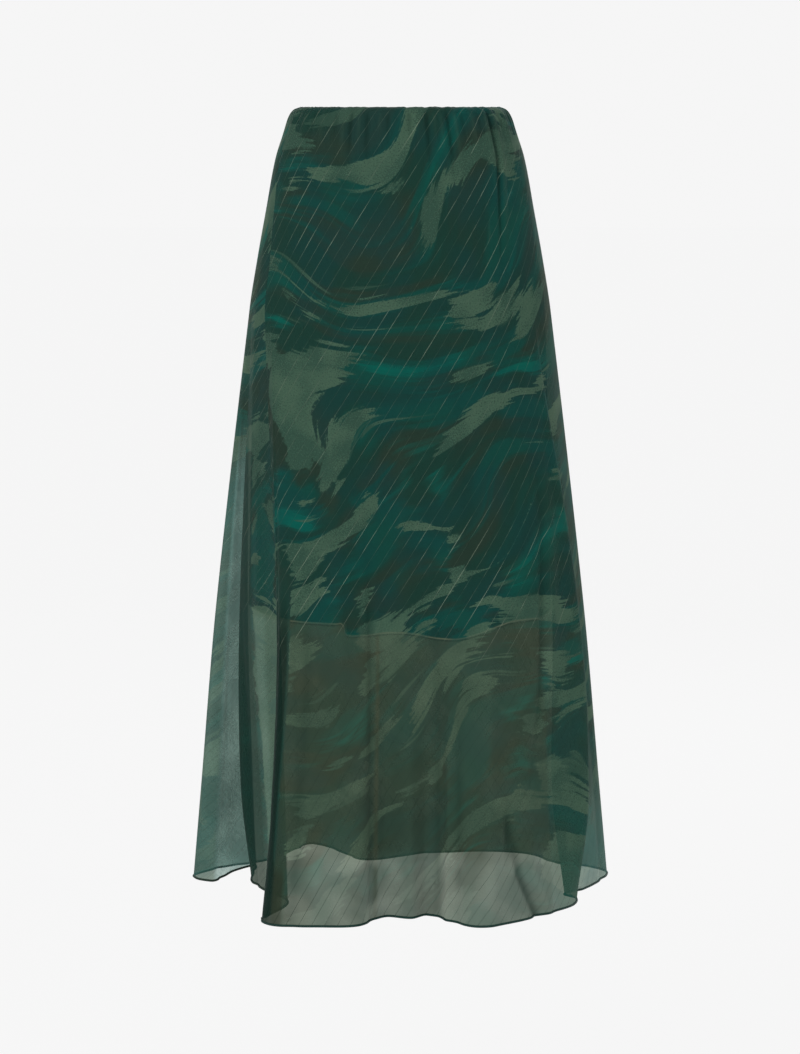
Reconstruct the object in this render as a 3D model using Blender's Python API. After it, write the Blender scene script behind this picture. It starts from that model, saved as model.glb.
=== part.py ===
"""Long sheer skirt, hollow as it is when worn: a flared outer layer that hangs in folds from a gathered
elastic waist, over a shorter and straighter lining.

Lengths are metres. +Z is up, +Y points to the wearer's back and +X to the viewer's right of the front.
The origin is the middle of the waist opening. Every layer is a thin wall on one hanging surface, which is
read at a place round the girth (a column) and at a depth below the waist.
"""

import math

import bmesh
import bpy
from mathutils import Vector

# ---------------------------------------------------------------- driving dimensions
SKIRT_LENGTH = 0.935          # waist edge to hem, straight down
OVERLAY_WALL = 0.0012         # outer layer
LINING_WALL = 0.0012
ELASTIC_WALL = 0.0020
SEAM_GAP = 0.0003             # between pieces that are sewn together
LINING_LENGTH = 0.620         # the most that its edge may hang
LINING_HALF_WIDTH = 0.189     # at that depth
LINING_HALF_DEPTH = 0.127
LINING_EASE = 0.005           # how far the lining stands off the outer layer at the hip
COLUMN_WIDTH = 0.020          # cloth between two columns, measured along the hem
STEP = 0.0005                 # small step that slopes are measured over

# Depths of the sections below the waist edge. All layers share those of the waist, so that they nest.
WAIST_DEPTHS = (0.000, 0.003, 0.010, 0.024, 0.038)
HIP = 0.240
KNEE = 0.600
CALF = 0.815
OVERLAY_DEPTHS = WAIST_DEPTHS + (0.075, 0.130, 0.185, HIP, 0.350, 0.475, KNEE, 0.710, CALF, SKIRT_LENGTH)
LINING_DEPTHS = WAIST_DEPTHS[1:] + (0.130, HIP)
LINING_DROPS = (0.5, 1.0)              # sections from the hip to the lining's lower edge
ELASTIC_DEPTHS = (WAIST_DEPTHS[2], WAIST_DEPTHS[-1])

# The worn form from the waist edge to the hip. The top edge rolls in over the elastic.
# Columns: depth, half width, half depth front to back.
FORM = (
    (0.000, 0.1165, 0.0840),
    (0.003, 0.1245, 0.0905),
    (0.010, 0.1297, 0.0945),
    (0.025, 0.1352, 0.0985),
    (0.060, 0.1466, 0.1060),
    (0.120, 0.1580, 0.1155),
    (0.180, 0.1690, 0.1235),
    (0.240, 0.1785, 0.1290),
)

# The hanging folds, clockwise from the viewer's left as seen from below. A fold keeps its place on the worn
# form down to the hip and then runs through a point at the knee to a point of the hem.
# Columns: fold, angle at the waist, angle at the hip, knee x, knee y, hem x, hem y (degrees, centimetres).
FOLDS = (
    ("wing_tip",         178, 180, -22.3,   4.2, -25.3,   4.4),
    ("wing_front",       181, 184, -21.0,   3.0, -22.7,   2.0),
    ("wing_hollow",      184, 188, -19.7,   4.4, -20.5,   7.2),
    ("wing_root",        187, 192, -18.5,   5.2, -18.0,   9.9),
    ("small_crest",      190, 196, -19.3,   1.2, -18.1,   2.2),
    ("small_front",      192, 200, -18.3,  -2.6, -16.6,  -2.0),
    ("left_trough",      195, 208, -14.2, -10.6, -13.3,  -8.6),
    ("left_crest",       198, 216, -13.9, -14.9, -16.0, -17.2),
    ("left_corner",      204, 225, -12.1, -15.9, -14.4, -19.5),
    ("flute_1",          218, 237,  -8.4, -16.0,  -9.6, -20.0),
    ("flute_1_side",     236, 250,  -4.6, -15.4,  -4.9, -19.6),
    ("front_valley",     255, 262,  -1.6, -14.4,  -1.7, -15.3),
    ("front_ripple",     266, 269,   0.8, -14.6,   1.3, -16.1),
    ("front_valley_2",   278, 277,   3.2, -14.5,   3.2, -14.6),
    ("flute_2",          294, 290,   8.0, -15.6,   8.7, -20.1),
    ("flute_2_side",     310, 303,  12.3, -14.9,  13.4, -17.8),
    ("right_front",      326, 315,  16.0, -12.9,  17.8, -13.2),
    ("right_corner",     337, 324,  19.0, -10.2,  20.4, -10.0),
    ("right_crest",      344, 330,  21.2,  -7.0,  21.0,  -6.6),
    ("right_trough",     349, 334,  18.0,  -5.6,  19.7,  -4.6),
    ("right_outer",      354, 346,  20.6,  -1.6,  22.9,  -0.8),
    ("right_tip",        360, 360,  22.3,   4.6,  25.5,   6.4),
    ("back_right",       368, 371,  20.6,   8.2,  23.0,   9.9),
    ("back_right_hollow", 377, 382, 18.0,  11.0,  20.2,  10.8),
    ("back_flute_1",     391, 396,  14.4,  14.4,  16.2,  16.4),
    ("back_flute_1_side", 409, 412,  9.4,  15.8,  10.6,  17.9),
    ("back_plain",       430, 429,   3.6,  15.3,   3.2,  16.8),
    ("back_valley",      451, 447,  -2.4,  14.8,  -4.4,  13.2),
    ("back_flute_2",     471, 464,  -7.4,  16.0,  -8.6,  19.6),
    ("back_crest",       488, 480, -11.4,  16.2, -11.6,  22.0),
    ("back_return",      504, 496, -14.8,  13.6, -14.6,  16.4),
    ("wing_back_root",   518, 510, -17.6,  10.6, -16.8,  12.8),
    ("wing_back",        528, 526, -20.4,   7.9, -20.7,  10.2),
    ("wing_back_side",   534, 535, -21.8,   6.2, -24.0,   6.9),
)
# Folds that stand out of their straight fall at the calf, because the hem curls in again under them.
# Columns: fold, x, y (centimetres).
CALF_SWELLS = (
    ("small_crest",  -0.8, 0.0),
    ("left_crest",    0.3, 0.0),
    ("right_crest",   1.3, 0.0),
    ("right_trough", -0.9, 0.0),
)
LEFT_SEAM = "left_trough"
RIGHT_SEAM = "right_tip"

# How far the lining's lower edge hangs, because it rides up at the sides.
# Columns: angle round the form in degrees (270 is the front), depth of the edge.
LINING_EDGE = (
    (180, 0.588),
    (205, 0.592),
    (228, 0.597),
    (247, 0.597),
    (253, 0.607),
    (270, 0.612),
    (303, 0.617),
    (314, 0.602),
    (335, 0.600),
    (360, 0.592),
    (400, 0.596),
    (450, 0.606),
    (500, 0.594),
)

# Colours as linear red, green, blue.
OVERLAY_COLOUR = (0.018, 0.055, 0.043)
LINING_COLOUR = (0.010, 0.030, 0.022)
ELASTIC_COLOUR = (0.020, 0.040, 0.034)


# ---------------------------------------------------------------- curves through rows
def through_rows(places, values, at):
    """A smooth curve through values given at rising places, read at one place."""
    last = len(places) - 1
    at = min(max(at, places[0]), places[last])
    low = max(i for i in range(last) if places[i] <= at)
    high = low + 1

    def slope(i):
        before = max(i - 1, 0)
        after = min(i + 1, last)
        return (values[after] - values[before]) / (places[after] - places[before])

    span = places[high] - places[low]
    t = (at - places[low]) / span
    return ((2 * t ** 3 - 3 * t ** 2 + 1) * values[low]
            + (t ** 3 - 2 * t ** 2 + t) * span * slope(low)
            + (3 * t ** 2 - 2 * t ** 3) * values[high]
            + (t ** 3 - t ** 2) * span * slope(high))


def round_rows(places, values, at, lap):
    """The same for a curve that closes on itself after one lap."""
    wrapped_places = [p - lap for p in places[-2:]] + list(places) + [p + lap for p in places[:2]]
    wrapped_values = list(values[-2:]) + list(values) + list(values[:2])
    at = places[0] + (at - places[0]) % lap
    return through_rows(wrapped_places, wrapped_values, at)


def form_point(depth, angle):
    """A point of the worn form, an ellipse at each depth."""
    depths = [row[0] for row in FORM]
    half_width = through_rows(depths, [row[1] for row in FORM], depth)
    half_depth = through_rows(depths, [row[2] for row in FORM], depth)
    return half_width * math.cos(math.radians(angle)), half_depth * math.sin(math.radians(angle))


def form_angle(turn, depth):
    """The angle on the form of a place round the hem: folds drift from their waist angle to their hip angle."""
    even = 360.0 / HEM_GIRTH

    def angle_of(column):
        rest = [fold[column] - place * even for fold, place in zip(FOLDS, FOLD_PLACES)]
        return turn * even + round_rows(FOLD_PLACES, rest, turn, HEM_GIRTH)

    share = min(depth / HIP, 1.0)
    share = share * share * (3.0 - 2.0 * share)
    return angle_of(1) * (1.0 - share) + angle_of(2) * share


def ring_point(ring, turn):
    """A point of a ring that passes through one point of every fold."""
    return tuple(round_rows(FOLD_PLACES, [point[axis] for point in ring], turn, HEM_GIRTH) for axis in (0, 1))


def hem_places():
    """How far round the hem each fold is, and the hem's whole girth."""
    places = [0.0]
    for here, there in zip(FOLDS, FOLDS[1:] + FOLDS[:1]):
        places.append(places[-1] + math.dist(here[5:], there[5:]) * 0.01)
    return places[:-1], places[-1]


FOLD_PLACES, HEM_GIRTH = hem_places()
KNEE_RING = [(fold[3] * 0.01, fold[4] * 0.01) for fold in FOLDS]
HEM_RING = [(fold[5] * 0.01, fold[6] * 0.01) for fold in FOLDS]


def calf_ring():
    """The ring between knee and hem: the straight fall, and the swells of the folds that have one."""
    fall = (CALF - KNEE) / (SKIRT_LENGTH - KNEE)
    swells = {name: (x * 0.01, y * 0.01) for name, x, y in CALF_SWELLS}
    ring = []
    for fold, knee, hem in zip(FOLDS, KNEE_RING, HEM_RING):
        swell = swells.get(fold[0], (0.0, 0.0))
        ring.append(tuple(knee[axis] + (hem[axis] - knee[axis]) * fall + swell[axis] for axis in (0, 1)))
    return ring


CALF_RING = calf_ring()


class Surface:
    """One hanging surface: the worn form down to the hip, then straight falls to the rings below it."""

    def __init__(self, rings):
        self.rings = rings
        self.stations = {}

    def station(self, turn):
        if turn not in self.stations:
            depths = [row[0] for row in FORM]
            points = [form_point(depth, form_angle(turn, depth)) for depth in depths]
            for depth, ring in self.rings:
                depths.append(depth)
                points.append(ring(turn))
            self.stations[turn] = depths, [p[0] for p in points], [p[1] for p in points]
        return self.stations[turn]

    def point(self, turn, depth):
        depths, xs, ys = self.station(turn)
        return Vector((through_rows(depths, xs, depth), through_rows(depths, ys, depth), -depth))

    def along(self, turn, depth):
        """Unit direction round the girth."""
        return (self.point(turn + STEP, depth) - self.point(turn - STEP, depth)).normalized()

    def inset(self, turn, depth, distance, side=0.0):
        """A point moved in from the surface, and to one side of its column."""
        round_way = self.along(turn, depth)
        lowest = self.station(turn)[0][-1]
        higher = max(depth - STEP, 0.0)
        lower = min(depth + STEP, lowest)
        down_way = (self.point(turn, lower) - self.point(turn, higher)).normalized()
        outward = down_way.cross(round_way).normalized()
        return self.point(turn, depth) - outward * distance + round_way * side


def lining_ring(turn):
    angle = math.radians(form_angle(turn, HIP))
    return LINING_HALF_WIDTH * math.cos(angle), LINING_HALF_DEPTH * math.sin(angle)


OVERLAY = Surface(((KNEE, lambda turn: ring_point(KNEE_RING, turn)),
                   (CALF, lambda turn: ring_point(CALF_RING, turn)),
                   (SKIRT_LENGTH, lambda turn: ring_point(HEM_RING, turn))))
LINING = Surface(((LINING_LENGTH, lining_ring),))


# ---------------------------------------------------------------- columns
def fold_index(name):
    return [fold[0] for fold in FOLDS].index(name)


def columns_between(first, last):
    """Places of the columns from one fold round to another, evenly spread inside each fold."""
    count = len(FOLDS)
    steps = (fold_index(last) - fold_index(first)) % count or count
    turns = []
    for step in range(steps):
        here = fold_index(first) + step
        start = FOLD_PLACES[here % count] + here // count * HEM_GIRTH
        end = FOLD_PLACES[(here + 1) % count] + (here + 1) // count * HEM_GIRTH
        parts = max(2, round((end - start) / COLUMN_WIDTH))
        turns += [start + (end - start) * part / parts for part in range(parts)]
    return turns + [end]


# ---------------------------------------------------------------- walls
def wall(name, outer, inner, closed, colour, roughness):
    """A closed cloth wall between two grids of points, rows from the top down and columns round the girth."""
    mesh = bmesh.new()
    outer = [[mesh.verts.new(point) for point in row] for row in outer]
    inner = [[mesh.verts.new(point) for point in row] for row in inner]
    columns = len(outer[0])
    spans = [(i, (i + 1) % columns) for i in range(columns if closed else columns - 1)]
    for high in range(len(outer) - 1):
        low = high + 1
        for left, right in spans:
            # both sides of the wall are cut along the same diagonal, so that they never cross
            corners = [(high, left), (low, left), (low, right), (high, right)]
            falling = (outer[high][left].co - outer[low][right].co).length
            rising = (outer[low][left].co - outer[high][right].co).length
            if rising < falling:
                corners = corners[1:] + corners[:1]
            for half in (corners[:3], [corners[0], *corners[2:]]):
                mesh.faces.new([outer[row][column] for row, column in half])
                mesh.faces.new([inner[row][column] for row, column in reversed(half)])
        if not closed:
            mesh.faces.new((inner[high][0], inner[low][0], outer[low][0], outer[high][0]))
            mesh.faces.new((outer[high][-1], outer[low][-1], inner[low][-1], inner[high][-1]))
    for left, right in spans:
        mesh.faces.new((inner[0][left], outer[0][left], outer[0][right], inner[0][right]))
        mesh.faces.new((outer[-1][left], inner[-1][left], inner[-1][right], outer[-1][right]))
    data = bpy.data.meshes.new(name)
    mesh.to_mesh(data)
    mesh.free()
    data.shade_smooth()
    piece = bpy.data.objects.new(name, data)
    bpy.context.scene.collection.objects.link(piece)
    piece.data.materials.append(cloth_material(name, colour, roughness))
    return piece


def cloth_material(name, colour, roughness):
    material = bpy.data.materials.new(name)
    material.use_nodes = True
    shader = material.node_tree.nodes["Principled BSDF"]
    shader.inputs["Base Color"].default_value = (*colour, 1.0)
    shader.inputs["Roughness"].default_value = roughness
    shader.inputs["Metallic"].default_value = 0.0
    return material


def sides_of(turns, closed):
    """How far each column moves sideways: only the two seam edges do, by half of the gap."""
    sides = [0.0] * len(turns)
    if not closed:
        sides[0] = SEAM_GAP / 2
        sides[-1] = -SEAM_GAP / 2
    return sides


def layer(surface, turns, depths_at, distance_at, closed):
    """A grid of points on a surface, moved in by a distance that depends on the depth."""
    sides = sides_of(turns, closed)
    rows = range(len(depths_at(turns[0])))
    return [[surface.inset(turn, depths_at(turn)[row], distance_at(depths_at(turn)[row]), side)
             for turn, side in zip(turns, sides)] for row in rows]


def overlay(name, first, last):
    turns = columns_between(first, last)
    grids = [layer(OVERLAY, turns, lambda turn: OVERLAY_DEPTHS, lambda depth: distance, False)
             for distance in (0.0, OVERLAY_WALL)]
    return wall(name, grids[0], grids[1], False, OVERLAY_COLOUR, 0.6)


def lining_depths(turn):
    """Sections of the lining at one column, down to its uneven lower edge."""
    angles = [row[0] for row in LINING_EDGE]
    edge = round_rows(angles, [row[1] for row in LINING_EDGE], form_angle(turn, HIP), 360)
    return LINING_DEPTHS + tuple(HIP + (edge - HIP) * drop for drop in LINING_DROPS)


def lining_stand_off(depth):
    """The lining lies against the outer layer at the waist and hangs free of it further down."""
    start = WAIST_DEPTHS[-1]
    share = min(max((depth - start) / (HIP - start), 0.0), 1.0)
    return OVERLAY_WALL + SEAM_GAP + LINING_EASE * share


def lining(name, first, last):
    turns = columns_between(first, last)
    grids = [layer(LINING, turns, lining_depths, lambda depth: lining_stand_off(depth) + more, False)
             for more in (0.0, LINING_WALL)]
    return wall(name, grids[0], grids[1], False, LINING_COLOUR, 0.5)


def waist_elastic():
    turns = columns_between(FOLDS[0][0], FOLDS[0][0])[:-1]
    start = OVERLAY_WALL + LINING_WALL + 2 * SEAM_GAP
    grids = [layer(OVERLAY, turns, lambda turn: ELASTIC_DEPTHS, lambda depth: distance, True)
             for distance in (start, start + ELASTIC_WALL)]
    return wall("waist_elastic", grids[0], grids[1], True, ELASTIC_COLOUR, 0.8)


# ---------------------------------------------------------------- the skirt
for leftover in list(bpy.data.objects):
    bpy.data.objects.remove(leftover)

overlay("overlay_front", LEFT_SEAM, RIGHT_SEAM)
overlay("overlay_back", RIGHT_SEAM, LEFT_SEAM)
lining("lining_front", LEFT_SEAM, RIGHT_SEAM)
lining("lining_back", RIGHT_SEAM, LEFT_SEAM)
waist_elastic()
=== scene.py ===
# %% [markdown]
# # A long sheer skirt over a short lining
# The real skirt is three things sewn into one waist: a printed chiffon outer layer that flares into folds, a
# plain opaque lining that stops above the knee, and a flat elastic. It is shown filled out, as it is worn.
# The cloth of each layer starts here as a flat grid and is hung on the same surface that the solid model was
# made from, because folds that the photograph shows at exact places are easier to set than to simulate.

import math

import bmesh
import bpy
import numpy as np
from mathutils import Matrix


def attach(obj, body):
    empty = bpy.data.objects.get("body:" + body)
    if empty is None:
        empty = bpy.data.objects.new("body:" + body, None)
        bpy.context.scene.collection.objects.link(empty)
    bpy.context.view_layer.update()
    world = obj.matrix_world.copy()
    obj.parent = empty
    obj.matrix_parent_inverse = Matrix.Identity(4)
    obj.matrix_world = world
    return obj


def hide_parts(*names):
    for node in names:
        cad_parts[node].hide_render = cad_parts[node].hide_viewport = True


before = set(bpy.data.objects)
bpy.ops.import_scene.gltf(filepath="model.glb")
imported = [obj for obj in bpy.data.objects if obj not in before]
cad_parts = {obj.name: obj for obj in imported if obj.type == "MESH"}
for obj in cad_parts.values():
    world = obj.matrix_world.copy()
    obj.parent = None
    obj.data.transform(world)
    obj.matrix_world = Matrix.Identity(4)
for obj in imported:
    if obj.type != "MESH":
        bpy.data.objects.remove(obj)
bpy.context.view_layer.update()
scene = bpy.context.scene
print("solid pieces:", sorted(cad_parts))

# %% [markdown]
# ## Camera
# The picture was taken from a long way off with a long lens, level with the waist and looking down a little.
# A long lens keeps the near and the far hem at almost the same scale, so the distance matters more than the
# lens: it decides how far below the back hem the front hem is seen.

# %% Camera
PHOTO_HEIGHT = 1054        # pixels
FOCAL_LENGTH = 3207        # the same lens, measured in those pixels
HORIZON_RISE = 420         # pixels from the middle of the picture up to the horizon
SENSOR = 36.0              # millimetres
CAMERA_DISTANCE = 3.80     # metres

lens = bpy.data.cameras.new("camera")
lens.sensor_width = SENSOR
lens.lens = FOCAL_LENGTH / PHOTO_HEIGHT * SENSOR
camera = bpy.data.objects.new("camera", lens)
camera.location = (0.0, -CAMERA_DISTANCE, 0.0)
camera.rotation_euler = (math.pi / 2 - math.atan(HORIZON_RISE / FOCAL_LENGTH), 0.0, 0.0)
scene.collection.objects.link(camera)
scene.camera = camera
print("lens", round(lens.lens, 1), "mm")

# %% [markdown]
# ## Light and paper
# Sheer cloth is judged by what shines through it, so the whole surroundings are one bright, even white, like
# a studio tent. Two wide soft lamps in front give the folds their slight modelling, and one behind shines
# through the cloth. The floor is a sheet of paper that gives off the same white by itself.

# %% Light
PAPER_WHITE = 0.92         # brightness of the surroundings, as a share of full white
FLOOR_GLOW = 0.87          # the floor's own light, so that neither its edge nor a shadow shows
FLOOR_LEVEL = -1.25
FLOOR_SIZE = 30.0          # metres from its middle to its sides
AIM = (0.0, 0.0, -0.45)    # the middle of the skirt
SHEER_LAYERS = 24          # layers of sheer cloth that a ray of light may pass


def soft_lamp(name, place, size, power):
    """A square lamp that faces the middle of the skirt and is itself out of sight."""
    light = bpy.data.lights.new(name, "AREA")
    light.size = size
    light.energy = power
    lamp = bpy.data.objects.new(name, light)
    lamp.location = place
    x, y, z = [there - here for here, there in zip(place, AIM)]
    lamp.rotation_euler = (math.pi / 2 + math.atan2(z, math.hypot(x, y)), 0.0, math.atan2(-x, y))
    lamp.visible_camera = False
    scene.collection.objects.link(lamp)


world = bpy.data.worlds.new("white_tent")
world.use_nodes = True
world.node_tree.nodes["Background"].inputs["Color"].default_value = (1.0, 1.0, 1.0, 1.0)
world.node_tree.nodes["Background"].inputs["Strength"].default_value = PAPER_WHITE
scene.world = world
soft_lamp("key_lamp", (-1.9, -2.6, 1.1), 1.6, 42.0)
soft_lamp("fill_lamp", (2.2, -2.2, 0.3), 1.8, 12.0)
soft_lamp("back_lamp", (1.0, 2.9, 0.9), 1.8, 24.0)
scene.view_settings.view_transform = "Standard"
scene.cycles.transparent_max_bounces = SHEER_LAYERS

# %% Paper floor
paper = bpy.data.materials.new("paper")
paper.use_nodes = True
paper_shader = paper.node_tree.nodes["Principled BSDF"]
paper_shader.inputs["Base Color"].default_value = (0.05, 0.05, 0.05, 1.0)
paper_shader.inputs["Roughness"].default_value = 1.0
paper_shader.inputs["Specular IOR Level"].default_value = 0.0
paper_shader.inputs["Emission Color"].default_value = (1.0, 1.0, 1.0, 1.0)
paper_shader.inputs["Emission Strength"].default_value = FLOOR_GLOW

sheet_of_paper = bmesh.new()
bmesh.ops.create_grid(sheet_of_paper, x_segments=4, y_segments=4, size=FLOOR_SIZE)
bmesh.ops.translate(sheet_of_paper, verts=sheet_of_paper.verts, vec=(0.0, 0.0, FLOOR_LEVEL))
floor_mesh = bpy.data.meshes.new("paper_floor")
sheet_of_paper.to_mesh(floor_mesh)
sheet_of_paper.free()
floor_mesh.materials.append(paper)
floor = bpy.data.objects.new("paper_floor", floor_mesh)
scene.collection.objects.link(floor)

# %% [markdown]
# ## The surface that the cloth hangs on
# Down to the hip the cloth follows the body, which is an ellipse at each depth. Below that every fold runs
# through one point at the knee, one at the calf and one at the hem. These are the same measures that the
# solid model was built from, but for the lining's edge, which waves a little more here. A place on the skirt
# is a *turn*, metres round the hem, and a *depth*, metres below the waist edge.

# %% Measures of the skirt
CENTIMETRE = 0.01
MILLIMETRE = 0.001
SKIRT_LENGTH = 0.935
HIP = 0.240
KNEE = 0.600
CALF = 0.815
LINING_LENGTH = 0.620
LINING_HALF_WIDTH = 0.189
LINING_HALF_DEPTH = 0.127
LINING_EASE = 0.005        # how far the lining stands off the outer layer at the hip
CASING_END = 0.038         # where the gathered casing ends
STEP = 0.0005              # small step that slopes are measured over

# depth, half width and half depth of the worn form, in metres
FORM = (
    (0.000, 0.1165, 0.0840),
    (0.003, 0.1245, 0.0905),
    (0.010, 0.1297, 0.0945),
    (0.025, 0.1352, 0.0985),
    (0.060, 0.1466, 0.1060),
    (0.120, 0.1580, 0.1155),
    (0.180, 0.1690, 0.1235),
    (0.240, 0.1785, 0.1290),
)

# fold, angle at the waist and at the hip in degrees, then x and y at the knee and at the hem in centimetres
FOLDS = (
    ("wing_tip", 178, 180, -22.3, 4.2, -25.3, 4.4),
    ("wing_front", 181, 184, -21.0, 3.0, -22.7, 2.0),
    ("wing_hollow", 184, 188, -19.7, 4.4, -20.5, 7.2),
    ("wing_root", 187, 192, -18.5, 5.2, -18.0, 9.9),
    ("small_crest", 190, 196, -19.3, 1.2, -18.1, 2.2),
    ("small_front", 192, 200, -18.3, -2.6, -16.6, -2.0),
    ("left_trough", 195, 208, -14.2, -10.6, -13.3, -8.6),
    ("left_crest", 198, 216, -13.9, -14.9, -16.0, -17.2),
    ("left_corner", 204, 225, -12.1, -15.9, -14.4, -19.5),
    ("flute_1", 218, 237, -8.4, -16.0, -9.6, -20.0),
    ("flute_1_side", 236, 250, -4.6, -15.4, -4.9, -19.6),
    ("front_valley", 255, 262, -1.6, -14.4, -1.7, -15.3),
    ("front_ripple", 266, 269, 0.8, -14.6, 1.3, -16.1),
    ("front_valley_2", 278, 277, 3.2, -14.5, 3.2, -14.6),
    ("flute_2", 294, 290, 8.0, -15.6, 8.7, -20.1),
    ("flute_2_side", 310, 303, 12.3, -14.9, 13.4, -17.8),
    ("right_front", 326, 315, 16.0, -12.9, 17.8, -13.2),
    ("right_corner", 337, 324, 19.0, -10.2, 20.4, -10.0),
    ("right_crest", 344, 330, 21.2, -7.0, 21.0, -6.6),
    ("right_trough", 349, 334, 18.0, -5.6, 19.7, -4.6),
    ("right_outer", 354, 346, 20.6, -1.6, 22.9, -0.8),
    ("right_tip", 360, 360, 22.3, 4.6, 25.5, 6.4),
    ("back_right", 368, 371, 20.6, 8.2, 23.0, 9.9),
    ("back_right_hollow", 377, 382, 18.0, 11.0, 20.2, 10.8),
    ("back_flute_1", 391, 396, 14.4, 14.4, 16.2, 16.4),
    ("back_flute_1_side", 409, 412, 9.4, 15.8, 10.6, 17.9),
    ("back_plain", 430, 429, 3.6, 15.3, 3.2, 16.8),
    ("back_valley", 451, 447, -2.4, 14.8, -4.4, 13.2),
    ("back_flute_2", 471, 464, -7.4, 16.0, -8.6, 19.6),
    ("back_crest", 488, 480, -11.4, 16.2, -11.6, 22.0),
    ("back_return", 504, 496, -14.8, 13.6, -14.6, 16.4),
    ("wing_back_root", 518, 510, -17.6, 10.6, -16.8, 12.8),
    ("wing_back", 528, 526, -20.4, 7.9, -20.7, 10.2),
    ("wing_back_side", 534, 535, -21.8, 6.2, -24.0, 6.9),
)
# centimetres that a fold stands sideways out of its straight fall at the calf
CALF_SWELLS = {"small_crest": -0.8, "left_crest": 0.3, "right_crest": 1.3, "right_trough": -0.9}
LEFT_SEAM = "left_trough"
RIGHT_SEAM = "right_tip"

# angle round the form and depth of the lining's lower edge, which waves and has one short step in front
LINING_EDGE = (
    (180.0, 0.588),
    (205.0, 0.592),
    (228.0, 0.597),
    (247.0, 0.597),
    (249.7, 0.5975),
    (250.3, 0.608),
    (256.0, 0.609),
    (266.0, 0.605),
    (274.0, 0.606),
    (283.0, 0.612),
    (291.0, 0.614),
    (299.0, 0.609),
    (306.0, 0.603),
    (314.0, 0.598),
    (335.0, 0.598),
    (360.0, 0.592),
    (400.0, 0.596),
    (450.0, 0.606),
    (500.0, 0.594),
)

# %% [markdown]
# Cloth has no corners, so the few measured points are joined by smooth curves. Each stretch between two
# points is a cubic whose slopes come from the points on both sides of it. The same function reads one curve
# or a whole row of them at once, one per column of cloth.

# %% Smooth curves through measured points
def curve(places, values, at):
    """Smooth curves through values, one per column, given at rising places and read at the places in at."""
    places = np.asarray(places, float)
    rows = np.arange(len(places))
    before = np.maximum(rows - 1, 0)
    after = np.minimum(rows + 1, len(places) - 1)
    slopes = (values[after] - values[before]) / (places[after] - places[before])[:, None]
    at = np.clip(at, places[0], places[-1])
    low = np.clip(np.searchsorted(places, at, side="right") - 1, 0, len(places) - 2)
    span = places[low + 1] - places[low]
    t = (at - places[low]) / span
    value_low = np.take_along_axis(values, low, axis=0)
    value_high = np.take_along_axis(values, low + 1, axis=0)
    slope_low = np.take_along_axis(slopes, low, axis=0)
    slope_high = np.take_along_axis(slopes, low + 1, axis=0)
    return ((2 * t ** 3 - 3 * t ** 2 + 1) * value_low
            + (t ** 3 - 2 * t ** 2 + t) * span * slope_low
            + (3 * t ** 2 - 2 * t ** 3) * value_high
            + (t ** 3 - t ** 2) * span * slope_high)


def soft_step(value, low, high):
    """From 0 at low to 1 at high, with no corner at either end."""
    share = np.clip((value - low) / (high - low), 0.0, 1.0)
    return share * share * (3.0 - 2.0 * share)


def lap_curve(places, values, at, lap):
    """One smooth curve that closes on itself after a lap, read at the places in at."""
    places = np.concatenate([np.array(places[-2:]) - lap, places, np.array(places[:2]) + lap])
    values = np.concatenate([values[-2:], values, values[:2]])
    first = places[2]
    at = first + (np.asarray(at, float) - first) % lap
    return curve(places, values[:, None], at[:, None])[:, 0]


# %% [markdown]
# The fold points of one height make a ring. The ring at the calf follows from those at the knee and the
# hem, but for a few folds that swell or hollow on the way. On the body a fold is placed by its angle, which
# drifts between waist and hip, because a gather doesn't sit straight above the fold that it runs into.

# %% Rings of the folds
def ring_of(column):
    """One point of every fold, in metres."""
    return np.array([fold[column:column + 2] for fold in FOLDS]) * CENTIMETRE


KNEE_RING = ring_of(3)
HEM_RING = ring_of(5)
CALF_RING = KNEE_RING + (HEM_RING - KNEE_RING) * (CALF - KNEE) / (SKIRT_LENGTH - KNEE)
CALF_RING[:, 0] += [CALF_SWELLS.get(fold[0], 0.0) * CENTIMETRE for fold in FOLDS]

hem_steps = np.linalg.norm(np.roll(HEM_RING, -1, axis=0) - HEM_RING, axis=1)
HEM_GIRTH = float(hem_steps.sum())
FOLD_PLACES = np.concatenate([[0.0], np.cumsum(hem_steps)[:-1]])
EVEN = 360.0 / HEM_GIRTH   # degrees round the form for each metre of hem, if no fold drifted
print("hem girth", round(HEM_GIRTH, 3), "m in", len(FOLDS), "fold points")


def place_of(name):
    return float(FOLD_PLACES[[fold[0] for fold in FOLDS].index(name)])


def form_angle(turns, depth):
    """Angle on the body of places round the hem: a fold drifts from its waist angle to its hip angle."""
    share = soft_step(depth, 0.0, HIP)
    drift = np.array([fold[1] * (1.0 - share) + fold[2] * share for fold in FOLDS]) - FOLD_PLACES * EVEN
    return turns * EVEN + lap_curve(FOLD_PLACES, drift, turns, HEM_GIRTH)


def through_folds(ring):
    """A closed ring through one point of every fold, as a function of the turn."""
    return lambda turns: [lap_curve(FOLD_PLACES, ring[:, axis], turns, HEM_GIRTH) for axis in (0, 1)]


def lining_ring(turns):
    angle = np.radians(form_angle(turns, HIP))
    return LINING_HALF_WIDTH * np.cos(angle), LINING_HALF_DEPTH * np.sin(angle)


# %% [markdown]
# The outer layer and the lining differ only in the rings that they fall through, so one class serves for
# both. It gives the point at any turn and depth, and the two directions that gathers, hems and seams are
# laid out along: straight out of the cloth, and round it.

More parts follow.
